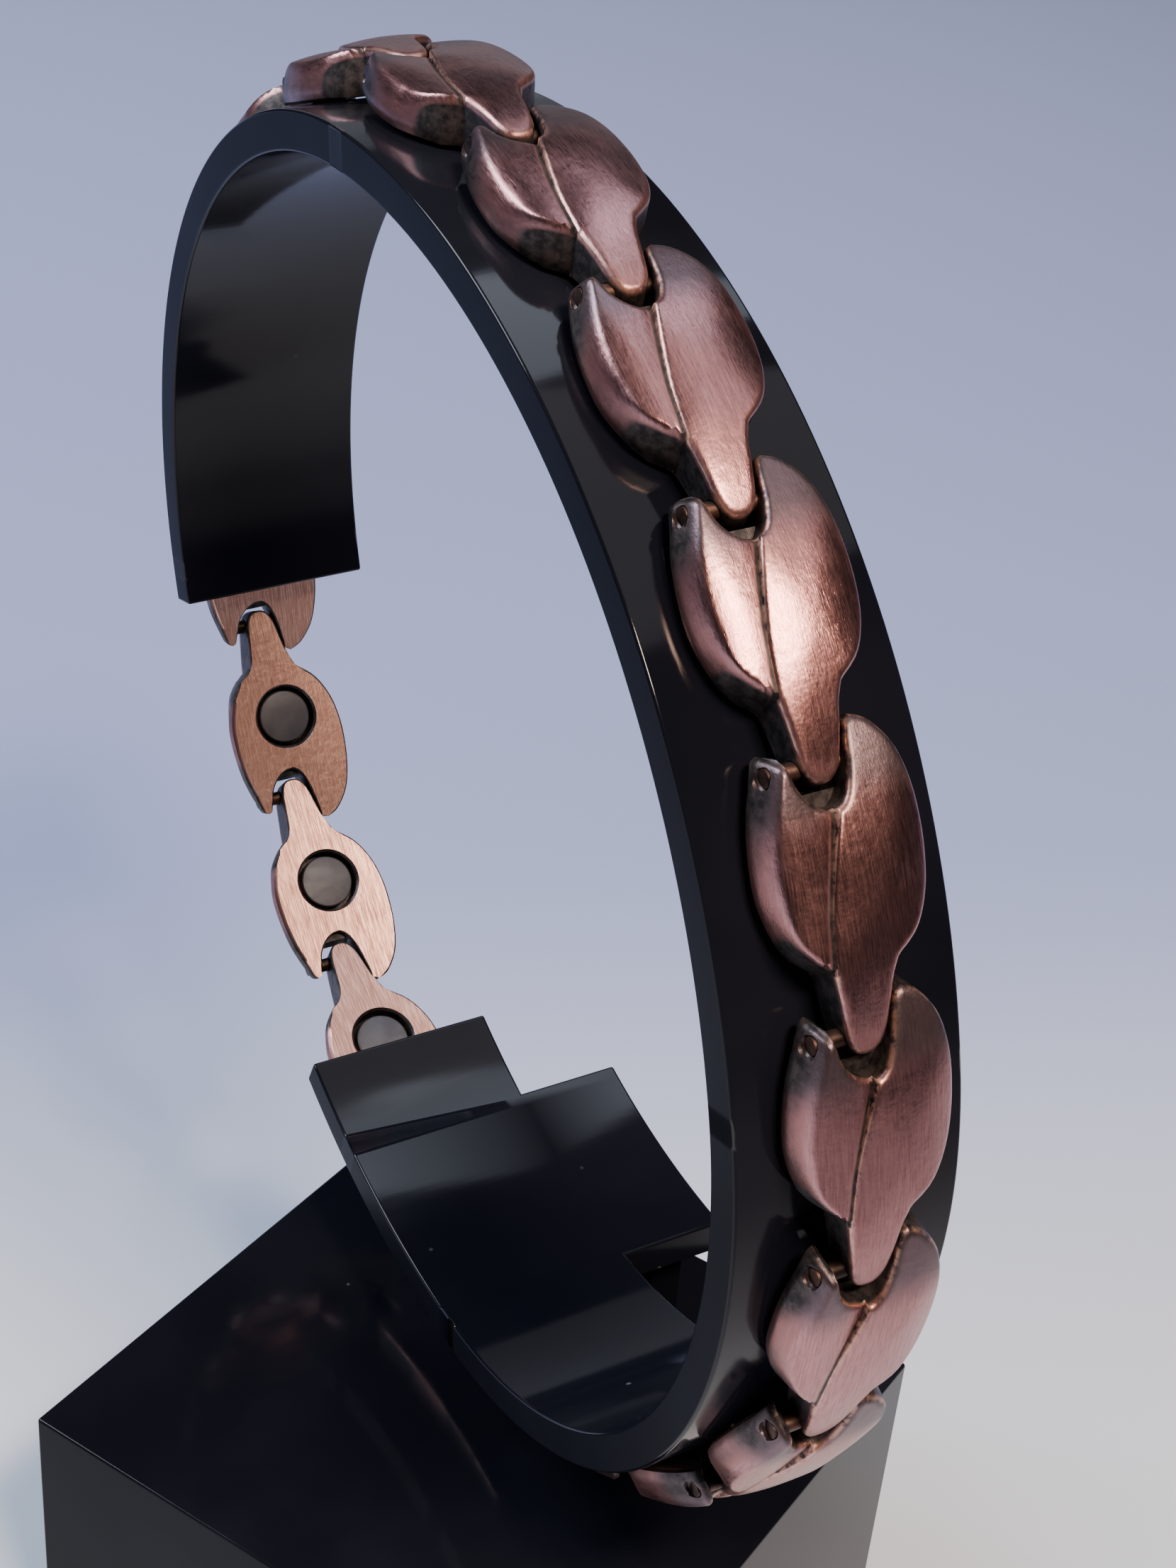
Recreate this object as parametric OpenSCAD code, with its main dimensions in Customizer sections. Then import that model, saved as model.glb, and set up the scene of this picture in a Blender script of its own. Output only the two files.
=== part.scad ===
// Magnetic bracelet of leaf-shaped hinged links, closed round its plain display stand.
// The stand's block sits on Z = 0 with the origin under its centre. The stand's ring is an oval
// strip, open on its low left side, whose width runs along Y. Everything is in millimetres.

/* [Stand block] */
// Length of the block, along its left front side
block_l = 36.8; // [30:0.1:60]
// Width of the block, along its right front side
block_w = 34.5; // [30:0.1:60]
// Height of the block
block_h = 20; // [12:1:40]
// Turn of the block under the ring, in degrees
block_turn = 28; // [0:1:45]
// How far the ring's centre lies to the left of the block's centre
ring_shift = 5.2; // [0:0.1:7]
// How far the ring's centre lies behind the block's centre
ring_back = 1; // [0:0.1:2]
// Gap between the block's top and the lowest link
under_gap = 3.4; // [1:0.05:12]

/* [Stand ring] */
// Opening of the ring across its short axis
ring_in_w = 57; // [50:0.5:60]
// Opening of the ring along its long axis
ring_in_l = 65.5; // [62:0.5:76]
// Thickness of the ring's sheet
ring_t = 2; // [1.5:0.1:4]
// Width of the ring's strip
ring_w = 11.2; // [9:0.1:30]
// Lean of the ring's long axis to the left of upright, in degrees
ring_lean = 54.5; // [35:0.5:65]
// Tilt of the whole ring to the front, in degrees
ring_tilt = 1.75; // [0:0.25:3]
// Angle of the strip's upper end above the short axis
gap_up = 36.5; // [15:0.5:38]
// Angle of the strip's lower end below the short axis
gap_down = 9; // [0:1:14]

/* [Tab and foot] */
// Angle at which the side tab starts, below the short axis
tab_start = 18; // [16:1:24]
// Angle at which the side tab ends, below the short axis
tab_end = 39; // [34:1:39]
// How far the tab reaches past the strip's back edge
tab_reach = 6.2; // [4:0.2:12]
// Length of the foot along the strip
foot_len = 9; // [6:0.5:10]
// Thickness of the foot
foot_t = 2; // [1.5:0.1:3]
// Distance from the tab's free edge to the foot's back face
foot_inset = 0.8; // [0.2:0.1:1.5]
// Depth that the foot goes into the block
foot_seat = 4; // [2:0.5:8]
// Clearance round the foot in the block's slot
seat_clear = 0.1; // [0.05:0.05:0.4]

/* [Chain] */
// Number of leaf links
link_count = 18; // [17:1:18]
// Length of one link from hinge to hinge, along the chain's path. The clasp takes what is left.
link_run = 10.9; // [10.6:0.05:11]
// Height of the links' undersides above the strip, at the hinges
link_lift = 0.7; // [0.7:0.05:1]
// How far the chain hangs below the middle of the ring
chain_sag = 0.15; // [0:0.05:0.15]
// Path from the short axis down to the first hinge, on the open side
first_hinge = 9.8; // [4:0.1:12]

/* [Link] */
// Width of a link
link_w = 7.1; // [6:0.1:9]
// Height of the high lobe
link_h = 2.7; // [2.5:0.1:4]
// Step down from the high lobe to the low lobe
lobe_step = 0.4; // [0.2:0.05:0.5]
// Radius of the high lobe's crown, across the link
high_crown_r = 6.7; // [6:0.1:20]
// Radius of the low lobe's crown, across the link
low_crown_r = 3.1; // [3:0.1:4]
// Radius of the high lobe's arch, along the link
high_arch_r = 21; // [20:1:60]
// Radius of the low lobe's arch, along the link
low_arch_r = 40; // [30:1:60]

/* [Hinge] */
// Diameter of a hinge pin
pin_d = 0.8; // [0.6:0.05:1]
// Length of a hinge pin
pin_len = 5.3; // [4.5:0.1:5.6]
// Radial clearance of a pin in its holes
pin_fit = 0.05; // [0.02:0.01:0.1]
// Height of the pins above the links' undersides
pin_z = 1; // [0.9:0.05:1.1]
// Width of a link's tongue at the pin
tongue_w = 1.7; // [1.3:0.05:2]
// Offset of the tongue from the link's centre line, towards the low lobe
tongue_off = 0.42; // [0.2:0.02:0.6]
// Gap beside the tongue on the high lobe's side
notch_gap_high = 0.2; // [0.15:0.05:0.4]
// Gap beside the tongue on the low lobe's side
notch_gap_low = 0.6; // [0.2:0.05:0.7]

/* [Magnet] */
// Diameter of a magnet
magnet_d = 3.2; // [2.5:0.1:3.4]
// Thickness of a magnet
magnet_h = 0.9; // [0.8:0.05:1]
// Diameter of the pocket that holds a magnet
pocket_d = 3.7; // [3.6:0.1:4.8]
// Depth of a magnet's face below the link's underside
magnet_sink = 0.3; // [0.1:0.05:0.5]
// Clearance between a magnet and its pocket's floor
magnet_gap = 0.05; // [0.02:0.01:0.1]
// Offset of the magnet from the link's middle, towards the horns
magnet_along = 0.5; // [0:0.1:0.8]

/* [Clasp] */
// Width of the clasp
clasp_w = 6.4; // [5.8:0.1:8]
// Height of the clasp
clasp_h = 2.6; // [2.2:0.1:3]
// Radius of the clasp's corners
clasp_corner_r = 1.1; // [0.5:0.1:1.2]
// Length of the clasp's horns past the hinge
clasp_horn = 1.1; // [1:0.1:1.3]
// How much shorter the clasp's tongue is than a round end about its hinge
clasp_tip = 0.15; // [0.12:0.01:0.2]
// Distance from the clasp's tongue hinge to its body
clasp_neck = 2.9; // [2.6:0.1:4]

/* [Hidden] */
$fn = 64;
two_digits = function(i) str(i < 10 ? "0" : "", i);
link_name = function(i) str("link_", two_digits(i));
magnet_name = function(i) str("magnet_", two_digits(i));

black_acrylic = [0.03, 0.035, 0.05];
copper = [0.66, 0.42, 0.35];
magnet_grey = [0.34, 0.35, 0.37];

// The ring's inner face is an oval of four arcs: two tight end arcs and two flatter side arcs.
// The end arcs lie between the true oval's end radius and its half width.
half_w = ring_in_w / 2;
half_l = ring_in_l / 2;
end_blend = 0.35;
oval_end_r = half_w * half_w / half_l;
end_r = oval_end_r + end_blend * (half_w - oval_end_r);
end_at = half_l - end_r;
side_r = (half_w * half_w + end_at * end_at - end_r * end_r) / (2 * (half_w - end_r));
side_at = side_r - half_w;
joint_angle = atan2(end_at, side_at);

// The hinges lie on the same oval, moved out by the sheet, the lift and the pins' height.
hinge_off = ring_t + link_lift + pin_z;
arc_len = function(r, degrees) r * degrees * PI / 180;
arc_deg = function(r, length) length * 180 / (PI * r);
side_half = arc_len(side_r + hinge_off, joint_angle);
end_full = arc_len(end_r + hinge_off, 180 - 2 * joint_angle);
path_full = 4 * side_half + 2 * end_full;

// A point of the hinge path, at a length run clockwise from the ring's right side.
wrapped = function(run) run - path_full * floor(run / path_full);
on_side = function(sign_x, angle) [
    -sign_x * side_at + (side_r + hinge_off) * cos(angle),
    (side_r + hinge_off) * sin(angle)
];
on_end = function(sign_z, angle) [
    (end_r + hinge_off) * cos(angle),
    sign_z * end_at + (end_r + hinge_off) * sin(angle)
];
path_point = function(run)
    let(s = wrapped(run))
    s < side_half ? on_side(1, -arc_deg(side_r + hinge_off, s))
    : s < side_half + end_full
        ? on_end(-1, -joint_angle - arc_deg(end_r + hinge_off, s - side_half))
    : s < 3 * side_half + end_full
        ? on_side(-1, joint_angle - 180 - arc_deg(side_r + hinge_off, s - side_half - end_full))
    : s < 3 * side_half + 2 * end_full
        ? on_end(1, 180 - joint_angle - arc_deg(end_r + hinge_off, s - 3 * side_half - end_full))
    : on_side(1, joint_angle - arc_deg(side_r + hinge_off, s - 3 * side_half - 2 * end_full));
hinge = function(i) path_point(path_full / 2 - first_hinge + i * link_run);
link_pitch = norm(hinge(0) - hinge(1));
clasp_chord = norm(hinge(link_count) - hinge(0));

// Height of the ring's centre: the lowest link clears the block by under_gap.
reach_r = hinge_off - pin_z + link_h;
reach_low = side_r + reach_r - side_at * sin(ring_lean) + chain_sag;
ring_z = block_h + under_gap + reach_low;

// The tongue and the notch that takes it share their middle and their gaps.
tongue_x = -tongue_off;
notch_w = tongue_w + notch_gap_high + notch_gap_low;
notch_x = tongue_x + (notch_gap_high - notch_gap_low) / 2;
notch_depth = 1.65;
hole_d = pin_d + 2 * pin_fit;
pocket_h = magnet_sink + magnet_h + magnet_gap;
low_h = link_h - lobe_step;
high_crown_at = 0.11 * link_w;
low_crown_at = -0.22 * link_w;
arch_at = 0.3;
past = 1;

// Curved edges of a link, seen from outside with the horns up. Each row is [across, along].
// Outer edge of the high lobe, from its horn to the shoulder: shares of link_w and link_pitch.
high_edge = [
    [0.190, 0.662], [0.297, 0.630], [0.410, 0.530], [0.470, 0.395], [0.493, 0.245],
    [0.484, 0.105], [0.436, -0.028], [0.331, -0.150], [0.178, -0.232]
];
// Tongue, from the high lobe's shoulder round the tip to the low lobe's tip: shares of tongue_w
// across from the tongue's middle, and of link_pitch along from its pin.
tongue_edge = [
    [0.80, 0.200], [0.66, 0.095], [0.49, -0.015], [0.25, -0.065], [-0.04, -0.076],
    [-0.32, -0.060], [-0.50, 0.000], [-0.60, 0.130], [-0.68, 0.240]
];
// Outer edge of the low lobe, from its tip up to its horn: shares of link_w and link_pitch.
low_edge = [
    [-0.334, -0.201], [-0.434, -0.113], [-0.503, 0.037], [-0.508, 0.185], [-0.478, 0.345],
    [-0.418, 0.480], [-0.375, 0.553], [-0.330, 0.570]
];
// Notch, from the low lobe's horn round the bottom to the high lobe's horn: shares of notch_w
// across from the notch's middle. Along, shares of notch_depth from the pin.
notch_edge = [
    [-0.61, 0.42], [-0.51, 0.00], [-0.44, -0.38], [-0.27, -0.75], [-0.07, -0.95], [0.14, -1.00],
    [0.34, -0.73], [0.49, -0.12], [0.59, 0.62], [0.66, 0.96]
];
// Midrib, from the notch's bottom to the low lobe's tip: shares of link_w and link_pitch.
midrib_edge = [
    [-0.089, 0.250], [-0.148, 0.102], [-0.193, -0.046], [-0.211, -0.157]
];

// Catmull-Rom curve through a row of points.
bend = function(a, b, c, d, t) 0.5 * (
    2 * b + (c - a) * t + (2 * a - 5 * b + 4 * c - d) * t * t + (3 * b - a - 3 * c + d) * t * t * t
);
curve = function(points, steps)
    let(last = len(points) - 1)
    concat(
        [for (i = [0:last - 1], k = [0:steps - 1])
            bend(points[max(i - 1, 0)], points[i], points[i + 1], points[min(i + 2, last)], k / steps)],
        [points[last]]
    );
edge_steps = 2;
on_link = function(rows) [for (p = rows) [p[0] * link_w, p[1] * link_pitch]];
high_points = curve(on_link(high_edge), edge_steps);
low_points = curve(on_link(low_edge), edge_steps);
tongue_points = curve(
    [for (p = tongue_edge) [tongue_x + p[0] * tongue_w, p[1] * link_pitch - link_pitch / 2]],
    edge_steps
);
notch_at = function(pin_y) curve(
    [for (p = notch_edge) [notch_x + p[0] * notch_w, p[1] * notch_depth + pin_y]],
    edge_steps
);
notch_points = notch_at(link_pitch / 2);
notch_bottom = [notch_x + notch_edge[5][0] * notch_w, link_pitch / 2 - notch_depth];
low_tip = tongue_points[len(tongue_points) - 1];
midrib_points = curve(concat([notch_bottom], on_link(midrib_edge), [low_tip]), edge_steps);

module in_chain() {
    translate([0, 0, -chain_sag])
        in_ring()
            children();
}

module in_ring() {
    translate([-ring_shift, ring_back, ring_z])
        rotate([ring_tilt, 0, 0])
            translate([0, -ring_w / 2, 0])
                rotate([0, -ring_lean, 0])
                    children();
}

module stand_base() {
    color(black_acrylic)
        difference() {
            rotate([0, 0, block_turn])
                translate([-block_l / 2, -block_w / 2, 0])
                    cube([block_l, block_w, block_h]);
            foot_box(seat_clear, block_h + past);
        }
}

// The upright foot plate, grown by a clearance, up to a given height.
module foot_box(grow, top) {
    tab_middle = 180 + (tab_start + tab_end) / 2;
    on_tab = [side_at + side_r * cos(tab_middle), side_r * sin(tab_middle)];
    foot_x = on_tab[0] * cos(ring_lean) - on_tab[1] * sin(ring_lean) - ring_shift;
    tab_z = on_tab[0] * sin(ring_lean) + on_tab[1] * cos(ring_lean);
    tab_back = ring_back + (ring_w / 2 + tab_reach) * cos(ring_tilt) - tab_z * sin(ring_tilt);
    foot_back = tab_back - foot_inset;
    low = block_h - foot_seat - grow;
    translate([foot_x - foot_len / 2 - grow, foot_back - foot_t - grow, low])
        cube([foot_len + 2 * grow, foot_t + 2 * grow, top - low]);
}

// The ring's oval, grown by d.
module oval(d) {
    intersection() {
        translate([-side_at, 0])
            circle(r = side_r + d);
        translate([side_at, 0])
            circle(r = side_r + d);
        square([4 * half_w, 2 * (end_at + (end_r + d) * sin(joint_angle))], center = true);
    }
    translate([0, end_at])
        circle(r = end_r + d);
    translate([0, -end_at])
        circle(r = end_r + d);
}

// Wedge on the ring's left, between two angles below the short axis.
module left_wedge(from, to) {
    reach = 3 * half_w;
    polygon([
        [side_at, 0],
        [side_at - reach * cos(from), -reach * sin(from)],
        [side_at - reach * cos(to), -reach * sin(to)]
    ]);
}

module ring_strip() {
    full_w = ring_w + tab_reach;
    translate([0, full_w, 0])
        rotate([90, 0, 0])
            difference() {
                linear_extrude(full_w)
                    difference() {
                        oval(ring_t);
                        oval(0);
                        left_wedge(-gap_up, gap_down);
                    }
                translate([0, 0, -past])
                    linear_extrude(tab_reach + past)
                        difference() {
                            square(6 * half_w, center = true);
                            left_wedge(tab_start, tab_end);
                        }
            }
}

module stand_ring() {
    color(black_acrylic)
        union() {
            in_ring()
                ring_strip();
            difference() {
                foot_box(0, ring_z);
                in_ring()
                    translate([side_at, 2 * (ring_w + tab_reach), 0])
                        rotate([90, 0, 0])
                            cylinder(r = side_r + ring_t / 2, h = 2 * (ring_w + tab_reach));
            }
        }
}

// Puts a piece on the chord between two hinges: X across the strip, Y along, Z outwards.
module on_chord(from, to) {
    middle = (from + to) / 2;
    along = from - to;
    outward = atan2(along[1], along[0]) - 90;
    in_chain()
        translate([middle[0], ring_w / 2, middle[1]])
            rotate([0, -outward, 0])
                rotate([90, 0, 90])
                    translate([0, 0, -pin_z])
                        children();
}

module at_link(i) {
    on_chord(hinge(i - 1), hinge(i))
        children();
}

module link_outline() {
    polygon(concat(high_points, tongue_points, low_points, notch_points));
}

// What lies below a crown: the inside of a long cylinder that runs along the link.
module below_crown(x, top, r) {
    translate([x, link_pitch, top - r])
        rotate([90, 0, 0])
            cylinder(r = r, h = 2 * link_pitch);
}

// What lies below the arch: the inside of a long cylinder that runs across the link.
module below_arch(top, r) {
    translate([-link_w, arch_at, top - r])
        rotate([0, 90, 0])
            cylinder(r = r, h = 2 * link_w);
}

// Side of the link where the surface steps down to the low lobe, past the link's edges.
beyond_tip = low_tip - [notch_gap_low, notch_gap_low];
module low_side() {
    polygon(concat(
        [[notch_bottom[0], link_pitch]],
        midrib_points,
        [beyond_tip, [-link_w, beyond_tip[1]], [-link_w, link_pitch]]
    ));
}

module cross_hole(along) {
    translate([-link_w, along, pin_z])
        rotate([0, 90, 0])
            cylinder(d = hole_d, h = 2 * link_w);
}

// The low lobe's own surface ends inside the high lobe, past the low lobe's tip.
module low_lobe() {
    low_end = beyond_tip[1] - notch_gap_low / 2;
    intersection() {
        below_crown(low_crown_at, low_h, low_crown_r);
        below_arch(low_h, low_arch_r);
        translate([-link_w, low_end, 0])
            cube([2 * link_w, link_pitch - low_end, link_h]);
    }
}

module high_lobe() {
    difference() {
        intersection() {
            below_crown(high_crown_at, link_h, high_crown_r);
            below_arch(link_h, high_arch_r);
        }
        translate([0, 0, pin_z])
            linear_extrude(link_h)
                low_side();
    }
}

module leaf_link() {
    difference() {
        intersection() {
            linear_extrude(link_h)
                link_outline();
            union() {
                high_lobe();
                low_lobe();
            }
        }
        translate([0, magnet_along, -past])
            cylinder(d = pocket_d, h = pocket_h + past);
        cross_hole(link_pitch / 2);
        cross_hole(-link_pitch / 2);
    }
}

module bracelet_link(i) {
    color(copper)
        at_link(i)
            leaf_link();
}

module magnet(i) {
    color(magnet_grey)
        at_link(i)
            translate([0, magnet_along, magnet_sink])
                cylinder(d = magnet_d, h = magnet_h);
}

module hinge_pins() {
    color(copper)
        in_chain()
            for (i = [0:link_count])
                translate([hinge(i)[0], (ring_w + pin_len) / 2, hinge(i)[1]])
                    rotate([90, 0, 0])
                        cylinder(d = pin_d, h = pin_len);
}

round_points = function(centre, r, from, to) [
    for (k = [0:round_steps]) let(angle = from + (to - from) * k / round_steps)
        centre + r * [cos(angle), sin(angle)]
];
round_steps = 6;

module clasp_outline() {
    horn_at = clasp_chord / 2;
    x = clasp_w / 2 - clasp_corner_r;
    y_low = clasp_neck - horn_at;
    y_high = horn_at + clasp_horn;
    notch = notch_at(horn_at);
    difference() {
        polygon(concat(
            round_points([x, y_low + clasp_corner_r], clasp_corner_r, -90, 0),
            round_points([x, y_high - clasp_corner_r], clasp_corner_r, 0, 90),
            round_points([-x, y_high - clasp_corner_r], clasp_corner_r, 90, 180),
            round_points([-x, y_low + clasp_corner_r], clasp_corner_r, 180, 270),
            [[tongue_x - tongue_w / 2, y_low]],
            round_points([tongue_x, clasp_tip - horn_at], tongue_w / 2, 180, 360),
            [[tongue_x + tongue_w / 2, y_low]]
        ));
        polygon(concat(
            notch,
            [[notch[len(notch) - 1][0], y_high + past], [notch[0][0], y_high + past]]
        ));
    }
}

module clasp() {
    bar_r = side_r + hinge_off;
    centre_z = pin_z - sqrt(bar_r * bar_r - clasp_chord * clasp_chord / 4);
    under_r = bar_r - pin_z;
    color(copper)
        on_chord(hinge(link_count), hinge(0))
            difference() {
                translate([0, 0, -clasp_h])
                    linear_extrude(3 * clasp_h)
                        clasp_outline();
                translate([-clasp_w, 0, centre_z])
                    rotate([0, 90, 0])
                        cylinder(r = under_r, h = 2 * clasp_w);
                translate([-clasp_w, 0, centre_z])
                    rotate([0, 90, 0])
                        difference() {
                            cylinder(r = under_r + 4 * clasp_h, h = 2 * clasp_w);
                            translate([0, 0, -past])
                                cylinder(r = under_r + clasp_h, h = 2 * clasp_w + 2 * past);
                        }
                cross_hole(clasp_chord / 2);
                cross_hole(-clasp_chord / 2);
            }
}

stand_base();
stand_ring();
clasp();
hinge_pins();
for (i = [1:link_count]) {
    bracelet_link(i);
    magnet(i);
}
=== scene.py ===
import math
from bisect import bisect_right

import bmesh
import bpy
from mathutils import Matrix, Vector


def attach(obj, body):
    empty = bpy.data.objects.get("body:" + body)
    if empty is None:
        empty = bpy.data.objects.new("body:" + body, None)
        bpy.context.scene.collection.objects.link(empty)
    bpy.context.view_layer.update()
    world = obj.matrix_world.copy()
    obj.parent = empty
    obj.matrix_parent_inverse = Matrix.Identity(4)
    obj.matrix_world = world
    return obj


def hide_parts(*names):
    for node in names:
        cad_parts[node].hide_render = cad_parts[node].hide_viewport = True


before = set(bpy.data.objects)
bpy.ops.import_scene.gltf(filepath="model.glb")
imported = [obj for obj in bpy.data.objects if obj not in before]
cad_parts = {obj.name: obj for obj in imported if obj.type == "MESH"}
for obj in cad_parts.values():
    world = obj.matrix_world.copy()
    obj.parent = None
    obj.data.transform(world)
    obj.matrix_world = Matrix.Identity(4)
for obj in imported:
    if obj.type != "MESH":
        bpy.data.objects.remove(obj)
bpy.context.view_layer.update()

# The camera and the light. The camera stands where the photograph was taken from, to the right
# of the ring's open face and about thirty degrees above it. A wide pale table fills the view.
MM = 0.001
ring_centre = Vector((-5.2, 1.0, 58.938)) * MM
eye = ring_centre + Vector((97.1, -52.03, 69.71)) * MM
sight = Vector((-0.72611, 0.42954, -0.5369)).normalized()
lift = Vector((-0.5051, 0.19658, 0.84037))
side = sight.cross(lift).normalized()
lift = side.cross(sight).normalized()
camera_data = bpy.data.cameras.new("photo_camera")
camera_data.lens = 36.0 * 3605.8 / 2212
camera_data.sensor_width = 36.0
camera_data.clip_start = 0.005
camera_data.clip_end = 20.0
camera = bpy.data.objects.new("photo_camera", camera_data)
camera.matrix_world = Matrix((
    (side.x, lift.x, -sight.x, eye.x),
    (side.y, lift.y, -sight.y, eye.y),
    (side.z, lift.z, -sight.z, eye.z),
    (0.0, 0.0, 0.0, 1.0),
))
bpy.context.scene.collection.objects.link(camera)
bpy.context.scene.camera = camera


def soft_light(name, place, target, size, power, colour):
    """A rectangular studio light, in millimetres, that faces its target."""
    lamp = bpy.data.lights.new(name, "AREA")
    lamp.shape = "RECTANGLE"
    lamp.size, lamp.size_y = size[0] * MM, size[1] * MM
    lamp.energy = power
    lamp.color = colour
    holder = bpy.data.objects.new(name, lamp)
    holder.location = Vector(place) * MM
    facing = (Vector(target) - Vector(place)).to_track_quat("-Z", "Y")
    holder.rotation_mode = "QUATERNION"
    holder.rotation_quaternion = facing
    bpy.context.scene.collection.objects.link(holder)
    return holder


soft_light("spark_light", (259, 8, 400), (19, 0, 80), (130, 60), 2.9, (1.0, 0.76, 0.58))
soft_light("main_light", (-315, -385, 490), (0, 0, 40), (300, 300), 4.4, (0.84, 0.90, 1.0))
soft_light("ceiling_light", (100, 170, 540), (0, 0, 60), (300, 300), 0.36, (1.0, 0.95, 0.99))
soft_light("back_light", (-540, 260, 200), (0, 0, 80), (400, 250), 0.12, (0.85, 0.9, 1.0))
soft_light("tab_light", (-115, 144, 448), (-25, 0, 30), (120, 120), 0.21, (0.78, 0.86, 1.0))

world = bpy.data.worlds.new("studio")
world.use_nodes = True
sky = world.node_tree.nodes["Background"]
sky.inputs["Color"].default_value = (0.62, 0.68, 0.84, 1.0)
sky.inputs["Strength"].default_value = 0.03
bpy.context.scene.world = world


# The stand's block: cast black acrylic, sawn square, its faces and edges polished. A slot cut in
# its top takes the foot of the ring.
class Signal:
    """An output socket of a material's nodes. Arithmetic on it adds Math nodes."""

    def __init__(self, tree, socket=None):
        self.tree = tree
        self.socket = socket

    def node(self, kind, settings=None, sockets=None, out=0):
        """Adds a node, with its settings first and then its sockets' values or links."""
        made = self.tree.nodes.new("ShaderNode" + kind)
        for name, value in (settings or {}).items():
            if name == "stops":
                ramp = made.color_ramp.elements
                while len(ramp) < len(value):
                    ramp.new(0.5)
                for stop, (at, shade) in zip(ramp, value):
                    stop.position = at
                    stop.color = shade
            else:
                setattr(made, name, value)
        for key, value in (sockets or {}).items():
            if isinstance(value, Signal):
                self.tree.links.new(value.socket, made.inputs[key])
            else:
                made.inputs[key].default_value = value
        return Signal(self.tree, made.outputs[out] if len(made.outputs) else None)

    def maths(self, operation, first, second=0.0):
        return self.node("Math", {"operation": operation}, {0: first, 1: second})

    def __add__(self, other):
        return self.maths("ADD", self, other)

    __radd__ = __add__

    def __sub__(self, other):
        return self.maths("SUBTRACT", self, other)

    def __rsub__(self, other):
        return self.maths("SUBTRACT", other, self)

    def __mul__(self, other):
        return self.maths("MULTIPLY", self, other)

    __rmul__ = __mul__

    def clamped(self):
        return self.node("Clamp", {}, {"Value": self})

    def band(self, low, high):
        """0 below low, 1 above high, and a smooth rise between."""
        return self.node(
            "MapRange",
            {"interpolation_type": "SMOOTHSTEP"},
            {"Value": self, "From Min": low, "From Max": high},
        )

    def tint(self, amount, first, second):
        """A mix of two colours, from the first at 0 to the second at 1."""
        return self.node(
            "Mix", {"data_type": "RGBA"}, {"Factor": amount, 6: first, 7: second}, out=2
        )

    def parts(self):
        split = self.node("SeparateXYZ", {}, {"Vector": self})
        outputs = split.socket.node.outputs
        return [Signal(self.tree, outputs[axis]) for axis in "XYZ"]


def new_finish(name):
    material = bpy.data.materials.new(name)
    material.use_nodes = True
    material.node_tree.nodes.clear()
    return material, Signal(material.node_tree)


def speckle(start, place, scale, detail=2.0, roughness=0.5):
    return start.node(
        "TexNoise",
        {},
        {"Vector": place, "Scale": scale, "Detail": detail, "Roughness": roughness},
    )


def stretched(start, place, scale):
    return start.node("Mapping", {}, {"Vector": place, "Scale": scale})


def black_acrylic_finish():
    material, start = new_finish("black_acrylic")
    place = start.node("TexCoord", {}, {}, out=3)
    sawn = start.node("Attribute", {"attribute_name": "sawn"}, {}, out=2)
    smears = speckle(start, stretched(start, place, (260.0, 70.0, 110.0)), 1.0, 4.0)
    haze = speckle(start, place, 55.0, 3.0)
    wiping = speckle(start, stretched(start, place, (1400.0, 130.0, 1100.0)), 1.0, 3.0)
    smear_mask = smears.band(0.48, 0.72)
    dust = start.node(
        "TexVoronoi", {"feature": "F1"}, {"Vector": place, "Scale": 420.0, "Randomness": 1.0}
    )
    dust_here = speckle(start, place, 160.0, 1.0).band(0.56, 0.66)
    dust_mask = (1.0 - dust.band(0.03, 0.075)) * dust_here
    tone = start.tint(haze.band(0.35, 0.7), (0.0045, 0.005, 0.009, 1), (0.009, 0.01, 0.016, 1))
    colour = start.tint(dust_mask * 0.5, tone, (0.30, 0.32, 0.36, 1))
    roughness = 0.06 + smear_mask * 0.09 + haze * 0.05 + dust_mask * 0.4
    relief = wiping * 0.25 + smears * 0.6 + dust_mask * 0.8
    bump = start.node(
        "Bump", {}, {"Strength": 0.12, "Distance": 0.00006, "Height": relief}
    )
    shader = start.node(
        "BsdfPrincipled",
        {},
        {
            "Base Color": colour,
            "Roughness": roughness,
            "IOR": 1.49,
            "Specular IOR Level": 0.2,
            "Normal": bump,
        },
    )
    dull = start.node(
        "BsdfPrincipled",
        {},
        {"Base Color": tone, "Roughness": 0.38, "Specular IOR Level": 0.03, "Normal": bump},
    )
    shader = start.node("MixShader", {}, {0: sawn, 1: shader, 2: dull})
    start.node("OutputMaterial", {}, {"Surface": shader})
    return material


def finished(name, bm, finish, nodes, smooth_angle=35.0):
    """Makes the object of a bmesh, dressed, riding on the body and standing for its CAD nodes."""
    mesh = bpy.data.meshes.new(name)
    bm.to_mesh(mesh)
    bm.free()
    mesh.materials.append(finish)
    mesh.polygons.foreach_set("use_smooth", [True] * len(mesh.polygons))
    mesh.set_sharp_from_angle(angle=math.radians(smooth_angle))
    piece = bpy.data.objects.new(name, mesh)
    bpy.context.scene.collection.objects.link(piece)
    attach(piece, "root")
    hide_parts(*nodes)
    return piece


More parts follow.
